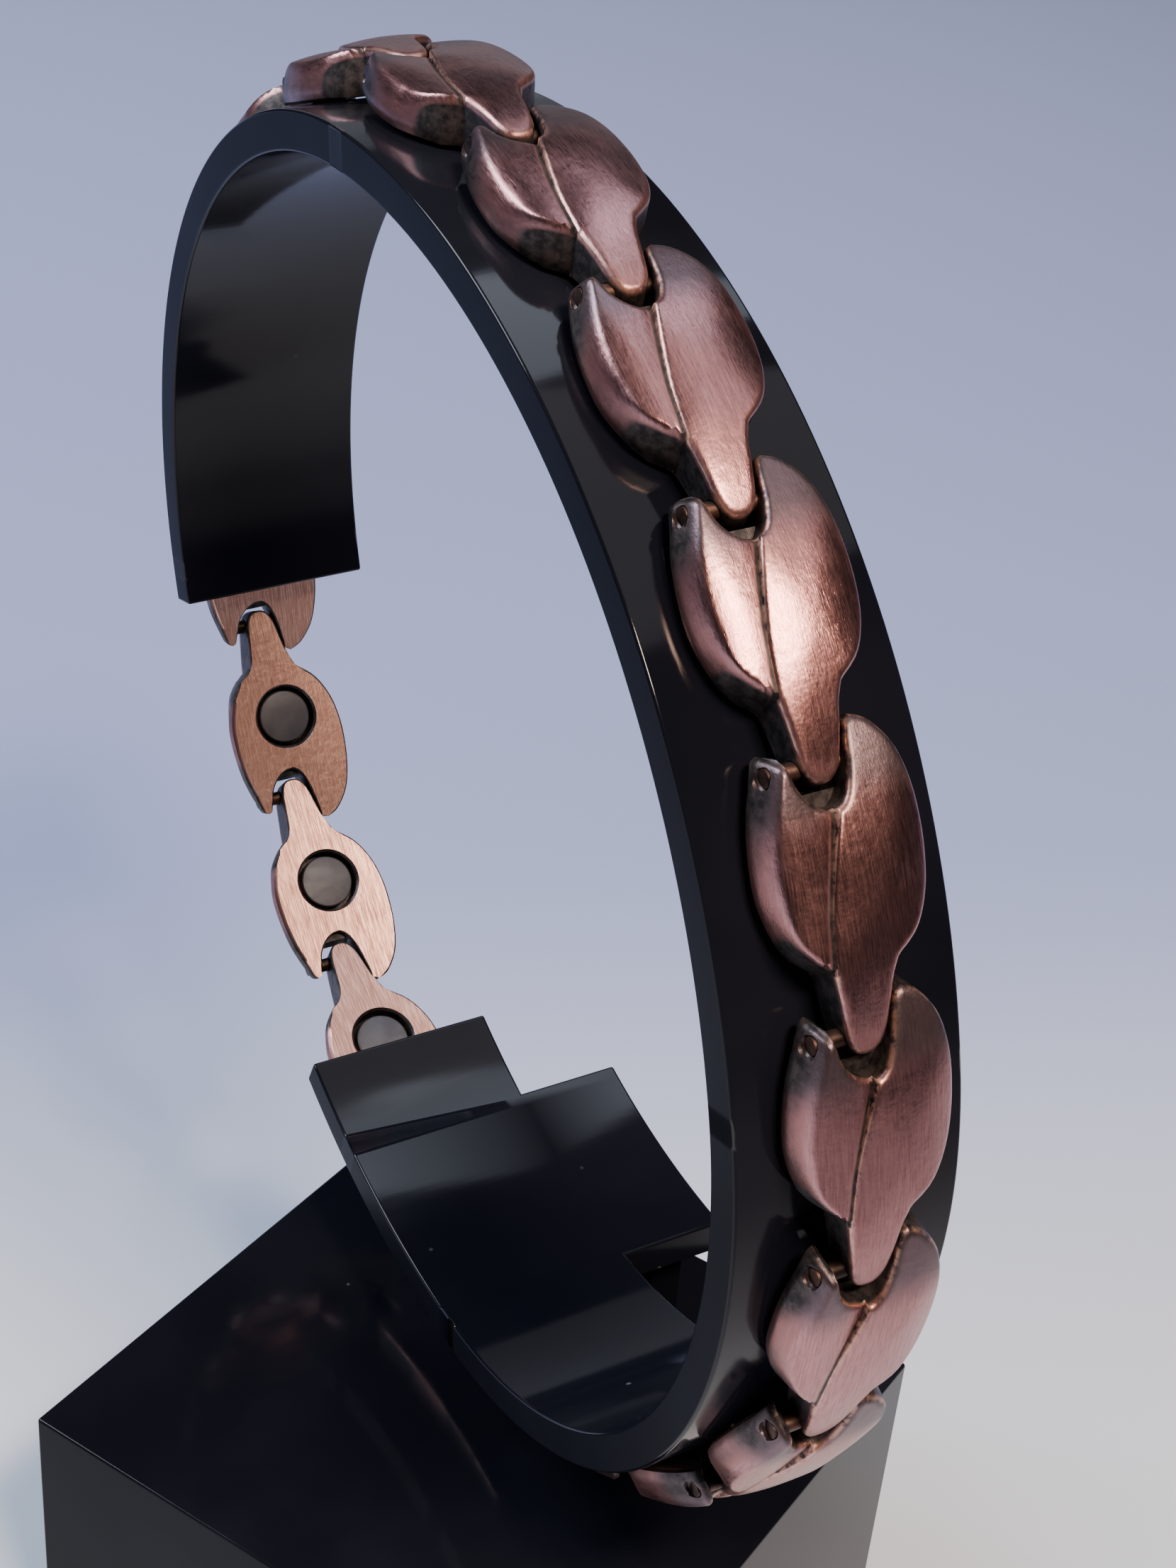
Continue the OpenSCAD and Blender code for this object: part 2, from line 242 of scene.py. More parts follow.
def joined(bm, tools, operation="DIFFERENCE"):
    """A new bmesh of this one with each of the tools cut away, or added."""
    bodies = []
    for number, source in enumerate([bm, *tools]):
        mesh = bpy.data.meshes.new("carving_%d" % number)
        source.to_mesh(mesh)
        source.free()
        body = bpy.data.objects.new("carving_%d" % number, mesh)
        bpy.context.scene.collection.objects.link(body)
        bodies.append(body)
    for tool in bodies[1:]:
        cut = bodies[0].modifiers.new("cut", "BOOLEAN")
        cut.operation = operation
        cut.solver = "EXACT"
        cut.object = tool
    bpy.context.view_layer.update()
    graph = bpy.context.evaluated_depsgraph_get()
    result = bmesh.new()
    result.from_object(bodies[0], graph)
    for body in bodies:
        mesh = body.data
        bpy.data.objects.remove(body)
        bpy.data.meshes.remove(mesh)
    return result


def bevelled(bm, width, segments, least_angle, chosen=None):
    """Rounds the edges that turn by more than the least angle."""
    least = math.radians(least_angle)
    edges = [
        edge
        for edge in bm.edges
        if len(edge.link_faces) == 2
        and edge.calc_face_angle(0.0) > least
        and (chosen is None or chosen(edge))
    ]
    bmesh.ops.bevel(
        bm,
        geom=edges,
        offset=width,
        offset_type="OFFSET",
        segments=segments,
        profile=0.5,
        affect="EDGES",
        clamp_overlap=True,
        material=-1,
    )
    bmesh.ops.recalc_face_normals(bm, faces=bm.faces)


def weigh_normals(piece):
    weigh = piece.modifiers.new("even_shading", "WEIGHTED_NORMAL")
    weigh.mode = "FACE_AREA"
    weigh.keep_sharp = True


def box_mesh(low, high):
    bm = bmesh.new()
    bmesh.ops.create_cube(bm, size=1.0)
    size = Vector(high) - Vector(low)
    bmesh.ops.scale(bm, vec=size, verts=bm.verts)
    bmesh.ops.translate(bm, vec=(Vector(low) + Vector(high)) / 2, verts=bm.verts)
    return bm


block_l, block_w, block_h = 36.8, 34.5, 20.0
block_turn = math.radians(28.0)
foot_low = (-9.5, 10.902, 16.0)
foot_high = (-0.5, 12.902, 20.0)
seat_clear = 0.1
black_acrylic = black_acrylic_finish()

block = box_mesh((-block_l / 2, -block_w / 2, 0.0), (block_l / 2, block_w / 2, block_h))
to_block = Matrix.Rotation(-block_turn, 3, "Z")
bmesh.ops.rotate(block, matrix=to_block.inverted(), verts=block.verts)
bevelled(block, 0.22, 3, 60.0)
grown = Vector((seat_clear, seat_clear, seat_clear))
foot_slot = box_mesh(Vector(foot_low) - grown, Vector(foot_high) + grown)
block = joined(block, [foot_slot])
sawn_layer = block.verts.layers.float.new("sawn")
for vert in block.verts:
    square = to_block @ vert.co
    if square.y < 0.02 - block_w / 2:
        vert[sawn_layer] = 0.85
    elif square.x > block_l / 2 - 0.02:
        vert[sawn_layer] = 0.25
bmesh.ops.scale(block, vec=(MM, MM, MM), verts=block.verts)
block = finished("display_block", block, black_acrylic, ["stand_base"], 50.0)
weigh_normals(block)

# The stand's ring: one strip of black acrylic sheet, heated and bent to an open oval, with a side
# tab that carries the upright foot plate, welded on below.
ring_in_w, ring_in_l, ring_t, ring_w = 57.0, 65.5, 2.0, 11.2
ring_lean, ring_tilt = math.radians(54.5), math.radians(1.75)
gap_up, gap_down, tab_start, tab_end = 36.5, 9.0, 18.0, 39.0
tab_reach = 6.2
half_w, half_l = ring_in_w / 2, ring_in_l / 2
oval_end_r = half_w * half_w / half_l
end_r = oval_end_r + 0.35 * (half_w - oval_end_r)
end_at = half_l - end_r
side_r = (half_w * half_w + end_at * end_at - end_r * end_r) / (2 * (half_w - end_r))
side_at = side_r - half_w
joint_angle = math.degrees(math.atan2(end_at, side_at))
ring_place = (
    Matrix.Translation(ring_centre / MM)
    @ Matrix.Rotation(ring_tilt, 4, "X")
    @ Matrix.Translation((0.0, -ring_w / 2, 0.0))
    @ Matrix.Rotation(-ring_lean, 4, "Y")
)

strip = bmesh.new()
start_angle = math.radians(180.0 - gap_up)
corners = [
    strip.verts.new((
        side_at + radius * math.cos(start_angle), along, radius * math.sin(start_angle)
    ))
    for radius, along in (
        (side_r, 0.0), (side_r + ring_t, 0.0), (side_r + ring_t, ring_w), (side_r, ring_w)
    )
]
strip.faces.new(corners)
profile = list(strip.faces)
for centre, degrees, steps in (
    ((side_at, 0.0), joint_angle - gap_up, 3),
    ((0.0, end_at), 180.0 - 2 * joint_angle, 72),
    ((-side_at, 0.0), 2 * joint_angle, 56),
    ((0.0, -end_at), 180.0 - 2 * joint_angle, 72),
    ((side_at, 0.0), joint_angle - tab_end, 1),
    ((side_at, 0.0), tab_end - tab_start, 16),
    ((side_at, 0.0), tab_start - gap_down, 7),
):
    swept = bmesh.ops.spin(
        strip,
        geom=profile,
        cent=(centre[0], 0.0, centre[1]),
        axis=(0.0, 1.0, 0.0),
        dvec=(0.0, 0.0, 0.0),
        angle=math.radians(degrees),
        space=Matrix.Identity(4),
        steps=steps,
        use_duplicate=False,
    )
    profile = [part for part in swept["geom_last"] if isinstance(part, bmesh.types.BMFace)]
bmesh.ops.recalc_face_normals(strip, faces=strip.faces)


def round_the_side(point):
    """Angle of a point below the short axis, on the ring's left side."""
    return math.degrees(math.atan2(-point.z, side_at - point.x))


tab_faces = [
    face
    for face in strip.faces
    if face.normal.y > 0.9
    and face.calc_center_median().x < 0.0
    and tab_start < round_the_side(face.calc_center_median()) < tab_end
]
pulled = bmesh.ops.extrude_face_region(strip, geom=tab_faces)
bmesh.ops.translate(
    strip,
    vec=(0.0, tab_reach, 0.0),
    verts=[part for part in pulled["geom"] if isinstance(part, bmesh.types.BMVert)],
)
bmesh.ops.delete(strip, geom=[face for face in tab_faces if face.is_valid], context="FACES_ONLY")
bmesh.ops.recalc_face_normals(strip, faces=strip.faces)
bevelled(strip, 0.16, 3, 40.0)
bmesh.ops.transform(strip, matrix=ring_place, verts=strip.verts)

foot = box_mesh(foot_low, foot_high)
to_ring = ring_place.inverted()
for vert in foot.verts:
    if vert.co.z > foot_low[2] + 0.1:
        for _ in range(8):
            inside = to_ring @ vert.co
            off = math.hypot(inside.x - side_at, inside.z) - side_r - ring_t / 2
            vert.co.z += off
bevelled(
    foot, 0.12, 2, 60.0,
    lambda edge: abs((edge.verts[0].co - edge.verts[1].co).normalized().z) > 0.7,
)
ring = joined(strip, [foot], "UNION")
sawn_layer = ring.verts.layers.float.new("sawn")
for vert in ring.verts:
    along = (to_ring @ vert.co).y
    edges_at = (0.0, ring_w, ring_w + tab_reach)
    vert[sawn_layer] = float(min(abs(along - edge) for edge in edges_at) < 0.02)
bmesh.ops.scale(ring, vec=(MM, MM, MM), verts=ring.verts)
ring = finished("display_ring", ring, black_acrylic, ["stand_ring"], 50.0)
weigh_normals(ring)

# The leaf links: eighteen like castings, copper-plated, darkened and then brushed back, so the
# crowns are bare copper and the horns stay dark. The walls and the recess are dark with patina
# and painted shade, the low side of the midrib carries a painted shade band and its high edge a
# painted highlight, and the undersides are lightened with painted light. A recess is cut
# underneath.
chain_sag, link_lift, link_run, first_hinge, link_count = 0.15, 0.7, 10.9, 9.8, 18
link_w, link_h, lobe_step, pin_z = 7.1, 2.7, 0.4, 1.0
high_crown_r, high_crown_at, high_arch_r = 6.7, 0.11 * 7.1, 21.0
low_crown_r, low_crown_at, low_arch_r, arch_at = 3.1, -0.22 * 7.1, 40.0, 0.3
pin_d, pin_fit, pin_len = 0.8, 0.05, 5.3
tongue_w, tongue_x = 1.7, -0.42
notch_w, notch_x, notch_depth = 2.5, -0.62, 1.65
pocket_d, pocket_h, magnet_along = 3.7, 1.25, 0.5
rim_r, rib_r, foot_edge = 0.26, 0.16, 0.13
wall_foot, wall_slope, ridge_r = 0.62, 2.9, 0.5
hinge_off = ring_t + link_lift + pin_z
side_path, end_path = side_r + hinge_off, end_r + hinge_off
side_half = math.radians(joint_angle) * side_path
end_full = math.radians(180 - 2 * joint_angle) * end_path
path_full = 4 * side_half + 2 * end_full
chain_place = Matrix.Translation((0.0, 0.0, -chain_sag)) @ ring_place


def hinge(number):
    """Place of a hinge in the ring's plane, at its run clockwise round the chain's path."""
    run = (path_full / 2 - first_hinge + number * link_run) % path_full
    corner = math.radians(joint_angle)
    for centre, radius, first, length in (
        ((-side_at, 0.0), side_path, 0.0, side_half),
        ((0.0, -end_at), end_path, -corner, end_full),
        ((side_at, 0.0), side_path, corner - math.pi, 2 * side_half),
        ((0.0, end_at), end_path, math.pi - corner, end_full),
        ((-side_at, 0.0), side_path, corner, side_half),
    ):
        if run <= length:
            angle = first - run / radius
            return Vector((
                centre[0] + radius * math.cos(angle), centre[1] + radius * math.sin(angle)
            ))
        run -= length
    return hinge(0)


def chord_place(first, second):
    """Where a piece between two hinges lies: X across the strip, Y along, Z outwards."""
    middle, along = (first + second) / 2, (first - second).normalized()
    out = Vector((along.y, -along.x))
    origin = middle - out * pin_z
    return chain_place @ Matrix((
        (0.0, along.x, out.x, origin.x),
        (1.0, 0.0, 0.0, ring_w / 2),
        (0.0, along.y, out.y, origin.y),
        (0.0, 0.0, 0.0, 1.0),
    ))


link_pitch = (hinge(1) - hinge(0)).length
half_pitch = link_pitch / 2


def curve_through(points, steps=8):
    """Catmull-Rom curve through a row of points."""
    made = []
    for i in range(len(points) - 1):
        a, b, c = points[max(i - 1, 0)], points[i], points[i + 1]
        d = points[min(i + 2, len(points) - 1)]
        for k in range(steps):
            t = k / steps
            made.append(Vector([
                0.5 * (2 * b[n] + (c[n] - a[n]) * t
                       + (2 * a[n] - 5 * b[n] + 4 * c[n] - d[n]) * t * t
                       + (3 * b[n] - a[n] - 3 * c[n] + d[n]) * t ** 3)
                for n in (0, 1)
            ]))
    return made + [Vector(points[-1])]


def on_link(rows):
    return [(x * link_w, y * link_pitch) for x, y in rows]


def on_notch(rows, pin_y):
    return [(notch_x + x * notch_w, pin_y + y * notch_depth) for x, y in rows]


high_edge = curve_through(on_link([
    (0.190, 0.662), (0.297, 0.630), (0.410, 0.530), (0.470, 0.395), (0.493, 0.245),
    (0.484, 0.105), (0.436, -0.028), (0.331, -0.150), (0.178, -0.232),
]))
tongue_edge = curve_through([
    (tongue_x + x * tongue_w, y * link_pitch - half_pitch)
    for x, y in (
        (0.80, 0.200), (0.66, 0.095), (0.49, -0.015), (0.25, -0.065), (-0.04, -0.076),
        (-0.32, -0.060), (-0.50, 0.000), (-0.60, 0.130), (-0.68, 0.240),
    )
])
low_edge = curve_through(on_link([
    (-0.334, -0.201), (-0.434, -0.113), (-0.503, 0.037), (-0.508, 0.185), (-0.478, 0.345),
    (-0.418, 0.480), (-0.375, 0.553), (-0.330, 0.570),
]))
notch_rows = [
    (-0.61, 0.42), (-0.51, 0.00), (-0.44, -0.38), (-0.27, -0.75), (-0.07, -0.95), (0.14, -1.00),
    (0.34, -0.73), (0.49, -0.12), (0.59, 0.62), (0.66, 0.96),
]
notch_edge = curve_through(on_notch(notch_rows, half_pitch))
notch_bottom = notch_edge[5 * 8]
low_tip = tongue_edge[-1]
tail = min(tongue_edge, key=lambda point: point.y)
tail_number = tongue_edge.index(tail)
midrib = curve_through(
    [notch_bottom]
    + on_link([(-0.089, 0.250), (-0.148, 0.102), (-0.193, -0.046), (-0.211, -0.157)])
    + [low_tip]
)


def edge_line(*runs):
    """Function that gives the place across of an edge, at a place along the link."""
    points = [point for run in runs for point in run]
    if points[0].y > points[-1].y:
        points.reverse()
    kept = [points[0]]
    for point in points[1:]:
        if point.y > kept[-1].y + 1e-6:
            kept.append(point)
    heights = [point.y for point in kept]

    def across(y):
        i = min(max(bisect_right(heights, y), 1), len(kept) - 1)
        a, b = kept[i - 1], kept[i]
        share = min(max((y - a.y) / (b.y - a.y), 0.0), 1.0)
        return a.x + (b.x - a.x) * share

    return across


midrib_line = edge_line(midrib)
high_left = edge_line(tongue_edge[tail_number:], midrib[::-1][1:], notch_edge[41:], high_edge[:1])
high_right = edge_line(tongue_edge[tail_number::-1], high_edge[::-1])
low_left = edge_line([low_tip], low_edge)
low_right = edge_line(midrib[::-1], notch_edge[39::-1], low_edge[-1:])
low_side = [low_tip] + low_edge
outline = high_edge + tongue_edge + low_edge + notch_edge
corners = [
    high_edge[0], notch_edge[-1], notch_edge[0], low_edge[-1], low_edge[0], low_tip,
    high_edge[-1], tongue_edge[0],
]


def nearest(point, line, closed):
    """Distance of a point to a line, and the direction to its right there."""
    best, right = 1e9, Vector((1.0, 0.0))
    count = len(line) if closed else len(line) - 1
    for i in range(count):
        a, b = line[i], line[(i + 1) % len(line)]
        run = b - a
        length = run.length
        if length < 1e-6:
            continue
        share = min(max((point - a).dot(run) / (length * length), 0.0), 1.0)
        gap = (point - a - run * share).length
        if gap < best:
            best, right = gap, Vector((run.y, -run.x)) / length
    return best, right


def drop(radius, off):
    return radius - math.sqrt(max(radius * radius - off * off, 0.0))


def crown_height(x, y, high):
    """Height of a lobe's smooth crown, without its rounded edges."""
    if high:
        fall = math.hypot(drop(high_crown_r, x - high_crown_at), drop(high_arch_r, y - arch_at))
        return link_h - fall
    fall = math.hypot(drop(low_crown_r, x - low_crown_at), drop(low_arch_r, y - arch_at))
    return link_h - lobe_step - fall


def rounding(radius, gap):
    return drop(radius, radius - gap) if gap < radius else 0.0


def surface_height(x, y, high):
    point = Vector((x, y))
    rim = rounding(rim_r, nearest(point, outline, True)[0])
    rib = rounding(rib_r, nearest(point, midrib, False)[0]) if high else 0.0
    crown = crown_height(x, y, high) - max(rim, rib)
    if high:
        return crown
    steep = 1.0 + 1.5 * min(max((0.3 - y) / 2.6, 0.0), 1.0)
    wall = wall_foot + wall_slope * steep * nearest(point, low_side, False)[0]
    apart = min(max(0.5 + (wall - crown) / (2 * ridge_r), 0.0), 1.0)
    return wall + (crown - wall) * apart - ridge_r * apart * (1.0 - apart)


edge_steps = (0.0, 0.015, 0.05, 0.11, 0.18, 0.27, 0.42)
wall_steps = (0.0, 0.08, 0.17, 0.26, 0.34, 0.40, 0.46, 0.52, 0.60, 0.72)


def rows_between(low, high, spacing, fine_low=True, fine_high=True):
    """Places along the link from low to high, closer together near the marked ends."""
    first = [low + step for step in edge_steps] if fine_low else [low]
    last = [high - step for step in reversed(edge_steps)] if fine_high else [high]
    inner_low, inner_high = first[-1], last[0]
    count = max(2, round((inner_high - inner_low) / spacing))
    middle = [inner_low + (inner_high - inner_low) * k / count for k in range(1, count)]
    return first + middle + last


def place_across(left, right, column, columns, left_steps):
    """Place of a column of the grid: close to both edges first, and even between."""
    scale = min(1.0, (right - left) / (1.6 * (left_steps[-1] + edge_steps[-1])))
    first, last = len(left_steps) - 1, columns - len(edge_steps) + 1
    if column <= first:
        return left + left_steps[column] * scale
    if column >= last:
        return right - edge_steps[columns - column] * scale
    low, high = left + left_steps[-1] * scale, right - edge_steps[-1] * scale
    return low + (high - low) * (column - first) / (last - first)


def half_leaf(left_line, right_line, rows, columns, high):
    """One lobe's upper face: a grid drawn out between the lobe's two edges and domed."""
    lobe = bmesh.new()
    last = len(rows) - 1
    bmesh.ops.create_grid(lobe, x_segments=columns, y_segments=last, size=1.0)
    for vert in lobe.verts:
        column = round((vert.co.x + 1) / 2 * columns)
        y = rows[round((vert.co.y + 1) / 2 * last)]
        x = place_across(
            left_line(y), right_line(y), column, columns, edge_steps if high else wall_steps
        )
        vert.co = (x, y, surface_height(x, y, high))
    return lobe


rib_rows = rows_between(low_tip.y, notch_bottom.y, 0.3)
high_tip, low_horn = high_edge[0], low_edge[-1]
high_rows = (
    rows_between(tail.y, low_tip.y, 0.3, True, False)[:-1]
    + rib_rows
    + rows_between(notch_bottom.y, high_tip.y, 0.24)[1:]
)
low_rows = rib_rows + rows_between(notch_bottom.y, low_horn.y, 0.2)[1:]
leaf = half_leaf(high_left, high_right, high_rows, 26, True)
low_leaf = half_leaf(low_left, low_right, low_rows, 24, False)

rib_edges = [
    edge
    for edge in leaf.edges
    if edge.is_boundary
    and all(
        low_tip.y - 0.001 <= vert.co.y <= notch_bottom.y + 0.001
        and abs(vert.co.x - midrib_line(vert.co.y)) < 1e-4
        for vert in edge.verts
    )
]
for vert in bmesh.ops.extrude_edge_only(leaf, edges=rib_edges)["geom"]:
    if isinstance(vert, bmesh.types.BMVert):
        vert.co.z = surface_height(vert.co.x, vert.co.y, False)
low_mesh = bpy.data.meshes.new("low_leaf")
low_leaf.to_mesh(low_mesh)
low_leaf.free()
leaf.from_mesh(low_mesh)
bpy.data.meshes.remove(low_mesh)
bmesh.ops.remove_doubles(leaf, verts=leaf.verts, dist=0.002)


def corner_taper(point):
    """1 along the outline, and down to 0 at its sharp corners."""
    reach = min((point - corner).length for corner in corners)
    return min(1.0, reach / 0.5)


def pulled_down(bm, place):
    """Draws the open outline down, and puts each new corner where place says."""
    rim = [
        edge
        for edge in bm.edges
        if edge.is_boundary and (edge.verts[0].co.xy - edge.verts[1].co.xy).length > 1e-4
    ]
    for part in bmesh.ops.extrude_edge_only(bm, edges=rim)["geom"]:
        if isinstance(part, bmesh.types.BMVert):
            part.co = place(part.co.xy)


def foot_at(inward, up):
    """Place rule for a step of the rounded lower edge, which is fuller along the low side."""
    def place(point):
        right = nearest(point, outline, True)[1]
        full = 0.0
        if nearest(point, low_edge, False)[0] < 0.2:
            reach = min((point - low_edge[0]).length, (point - low_edge[-1]).length)
            full = min(reach / 1.4, 1.0)
        taper = corner_taper(point)
        moved = point + right * (foot_edge + 0.14 * full) * inward * taper
        return (moved.x, moved.y, (foot_edge + 0.27 * full) * up * taper)

    return place


pulled_down(leaf, foot_at(0.0, 1.0))
for corner in (low_tip, notch_bottom):
    low_z = surface_height(corner.x, corner.y, False)
    for edge in list(leaf.edges):
        tall = sorted(edge.verts, key=lambda vert: vert.co.z)
        if (
            all((vert.co.xy - corner).length < 1e-3 for vert in tall)
            and tall[1].co.z > low_z + 0.02
            and tall[0].co.z < low_z - 0.2
        ):
            share = (tall[1].co.z - low_z) / (tall[1].co.z - tall[0].co.z)
            bmesh.utils.edge_split(edge, tall[1], share)
bmesh.ops.remove_doubles(leaf, verts=leaf.verts, dist=0.002)
for inward, up in ((0.25, 0.36), (0.75, 0.0)):
    pulled_down(leaf, foot_at(inward, up))
bmesh.ops.remove_doubles(leaf, verts=leaf.verts, dist=0.002)
bmesh.ops.holes_fill(leaf, edges=[edge for edge in leaf.edges if edge.is_boundary], sides=0)
bmesh.ops.recalc_face_normals(leaf, faces=leaf.faces)


def rod_mesh(radius, length, steps, middle, axis, end_radius=None):
    """A plain round tool along an axis, or a tapered one."""
    bm = bmesh.new()
    bmesh.ops.create_cone(
        bm, cap_ends=True, segments=steps, radius1=radius,
        radius2=radius if end_radius is None else end_radius, depth=length,
    )
    turn = Vector((0.0, 0.0, 1.0)).rotation_difference(Vector(axis)).to_matrix()
    bmesh.ops.rotate(bm, matrix=turn, verts=bm.verts)
    bmesh.ops.translate(bm, vec=middle, verts=bm.verts)
    return bm


pocket = rod_mesh(pocket_d / 2, 2 * pocket_h, 56, (0.0, magnet_along, 0.0), (0.0, 0.0, 1.0))
flare = rod_mesh(
    pocket_d / 2 + 0.3, 0.32, 56, (0.0, magnet_along, 0.0), (0.0, 0.0, 1.0), pocket_d / 2 - 0.02
)
bore_r = pin_d / 2 + pin_fit
mouth_r = bore_r + 0.13
low_mouth = low_left(half_pitch) + (pin_z - wall_foot) / wall_slope
high_mouth = high_right(half_pitch)
mouths = [
    rod_mesh(
        mouth_r, 0.24, 30, (x + inward * 0.07, half_pitch, pin_z), (inward, 0.0, 0.0),
        bore_r - 0.04,
    )
    for x, inward in ((low_mouth, 1.0), (high_mouth, -1.0))
]
bores = [
    rod_mesh(bore_r, 2 * link_w, 28, (0.0, along, pin_z), (1.0, 0.0, 0.0))
    for along in (half_pitch, -half_pitch)
]
leaf = joined(leaf, [pocket, flare, *mouths, *bores])
web_low, web_high, web_gap = 0.45, 1.1, 1.0
web = box_mesh(
    (notch_x - 1.0, half_pitch - notch_depth - 0.3, web_low),
    (notch_x + 1.05, half_pitch - web_gap, web_high),
)
for vert in web.verts:
    if vert.co.y > half_pitch - 1.2 and vert.co.z < 1.0:
        vert.co.y -= 0.25
web_mesh = bpy.data.meshes.new("notch_web")
web.to_mesh(web_mesh)
web.free()
leaf.from_mesh(web_mesh)
bpy.data.meshes.remove(web_mesh)

# Per point: gap to the rim, gap to the midrib and depth below the crown; these drive the worn rims,
# the patina, and the painted shade and painted highlight of the copper.
place_layer = leaf.verts.layers.float_vector.new("place")
wear_and_light_layer = leaf.verts.layers.float_vector.new("wear")
for vert in leaf.verts:
    flat = vert.co.xy
    rib_gap = nearest(flat, midrib, False)[0]
    on_high = flat.x > midrib_line(flat.y) if low_tip.y < flat.y < notch_bottom.y else (
        flat.x > notch_x if flat.y > 0 else True
    )
    below = crown_height(flat.x, flat.y, on_high) - vert.co.z
    rim_gap = min(nearest(flat, outline, True)[0], 1.5)
    vert[place_layer] = vert.co
    vert[wear_and_light_layer] = (rim_gap, min(rib_gap, 1.5) * (-1.0 if on_high else 1.0), below)
    off_bore = math.hypot(flat.y - half_pitch, vert.co.z - pin_z)
    # Flat undersides are flagged for the lighter copper, which is partly painted light.
    if vert.co.z < 0.01:
        vert[wear_and_light_layer] = (0.6, 3.0, 0.0)
    elif abs(flat.x) > 2.3 and bore_r - 0.02 < off_bore < mouth_r + 0.02:
        vert[wear_and_light_layer] = (0.3, 1.5, 0.5)
    # The web in the notch takes the full dark tone: patina, with painted shade down in the notch.
    elif 0.4 < vert.co.z < 1.2 and abs(flat.x - notch_x) < 1.1 and 3.4 < flat.y < 4.6:
        vert[wear_and_light_layer] = (1.5, 1.5, 1.5)
leaf_mesh = bpy.data.meshes.new("leaf_link")
leaf.to_mesh(leaf_mesh)
leaf.free()


def antique_copper_finish():
    material, start = new_finish("antique_copper")
    world_place = start.node("TexCoord", {}, {}, out=3)
    place = start.node("Attribute", {"attribute_name": "place"}, {}, out=1)
    wear = start.node("Attribute", {"attribute_name": "wear"}, {}, out=1)
    rim, rib, below = wear.parts()
    across, along = place.parts()[:2]
    low_wall = (1.0 - across.band(-2.0, -1.2)) * along.band(-1.8, -0.6)
    brushing = speckle(start, stretched(start, place, (16.0, 0.7, 5.0)), 1.0, 4.0, 0.65)
    fine = speckle(start, stretched(start, place, (42.0, 2.2, 18.0)), 1.0, 2.0, 0.6)
    patches = speckle(start, world_place, 420.0, 4.0, 0.6)
    cloud = speckle(start, world_place, 130.0, 2.0)
    specks = speckle(start, world_place, 1900.0, 2.0, 0.7)
    # Well below the crown (walls, recess, bores) the copper goes dark with patina and painted
    # shade, less so on the upper part of the low wall.
    wall = below.band(0.12, 0.75) * (1.0 - low_wall * 0.8)
    upper = 1.0 - below.band(0.1, 0.4)
    # Painted shade: a dark band on the low lobe along the foot of the step at the midrib.
    painted_rib_shade = (1.0 - rib.band(0.02, 0.34)) * rib.band(-0.04, 0.0) * upper
    under = rib.band(2.0, 2.9)
    horns = (along + (1.0 - across.band(-1.6, -0.6)) * 0.7).band(2.9, 5.2) * (1.0 - under)
    tail = 1.0 - along.band(-6.0, -4.6)
    edge_band = 1.0 - rim.band(0.05, 0.5)
    # How dark each place is: patina on the horns, the patches and the grain, darker toward the tail
    # and the rim, patina with painted shade on the walls and recess, and painted shade along the
    # midrib.
    dark = (
        wall * 1.1 + painted_rib_shade * 0.95 + horns * 0.3 + tail * 0.3 + edge_band * 0.22
        + (patches - 0.5) * 0.7 + (brushing - 0.5) * (0.12 + under * 1.5)
    ).clamped()
    # Rims worn to bright copper, and a painted highlight along the high lobe's edge at the midrib.
    worn = (1.0 - rim.band(0.02, 0.16)) * upper
    painted_rib_highlight = (1.0 - (rib * -1.0).band(0.0, 0.22)) * (1.0 - rib.band(0.0, 0.01)) * upper
    wear_and_rib_highlight = (worn + painted_rib_highlight) * specks.band(0.35, 0.6)
    bare = start.tint(
        brushing.band(0.3, 0.7), (0.34, 0.16, 0.16, 1), (0.50, 0.26, 0.26, 1)
    )
    bare = start.tint(cloud.band(0.4, 0.68) * 0.6, bare, (0.38, 0.18, 0.18, 1))
    # Undersides: bare copper, made far lighter than the crowns as painted light falling on them.
    underside_bare_and_lit = start.tint(
        brushing.band(0.38, 0.58), (0.98, 0.62, 0.52, 1), (0.62, 0.33, 0.27, 1)
    )
    bare = start.tint(under, bare, underside_bare_and_lit)
    bare = start.tint(low_wall * (1.0 - upper) * 0.7, bare, (0.30, 0.13, 0.12, 1))
    bare = start.tint(horns * 0.8, bare, (0.12, 0.105, 0.125, 1))
    # One near-black tone for the patina and for the painted shade.
    patina_and_shade = start.tint(specks.band(0.3, 0.7), (0.018, 0.017, 0.020, 1), (0.075, 0.062, 0.062, 1))
    colour = start.tint(dark.band(0.2, 0.8), bare, patina_and_shade)
    # Lightened with bright copper at the worn rims and at the painted highlight by the midrib.
    colour = start.tint((wear_and_rib_highlight * 0.6).clamped(), colour, (0.74, 0.42, 0.32, 1))
    roughness = 0.17 + brushing * 0.12 + fine * 0.1 + dark * 0.2 + under * 0.12
    relief = brushing * 0.22 + fine * 0.2 + patches * 0.4 + specks * 0.6
    bump = start.node("Bump", {}, {"Strength": 0.6, "Distance": 0.00005, "Height": relief})
    shader = start.node(
        "BsdfPrincipled",
        {},
        {
            "Base Color": colour,
            "Metallic": 1.0 - dark * 0.35,
            "Roughness": roughness,
            "Normal": bump,
        },
    )
    start.node("OutputMaterial", {}, {"Surface": shader})
    return material


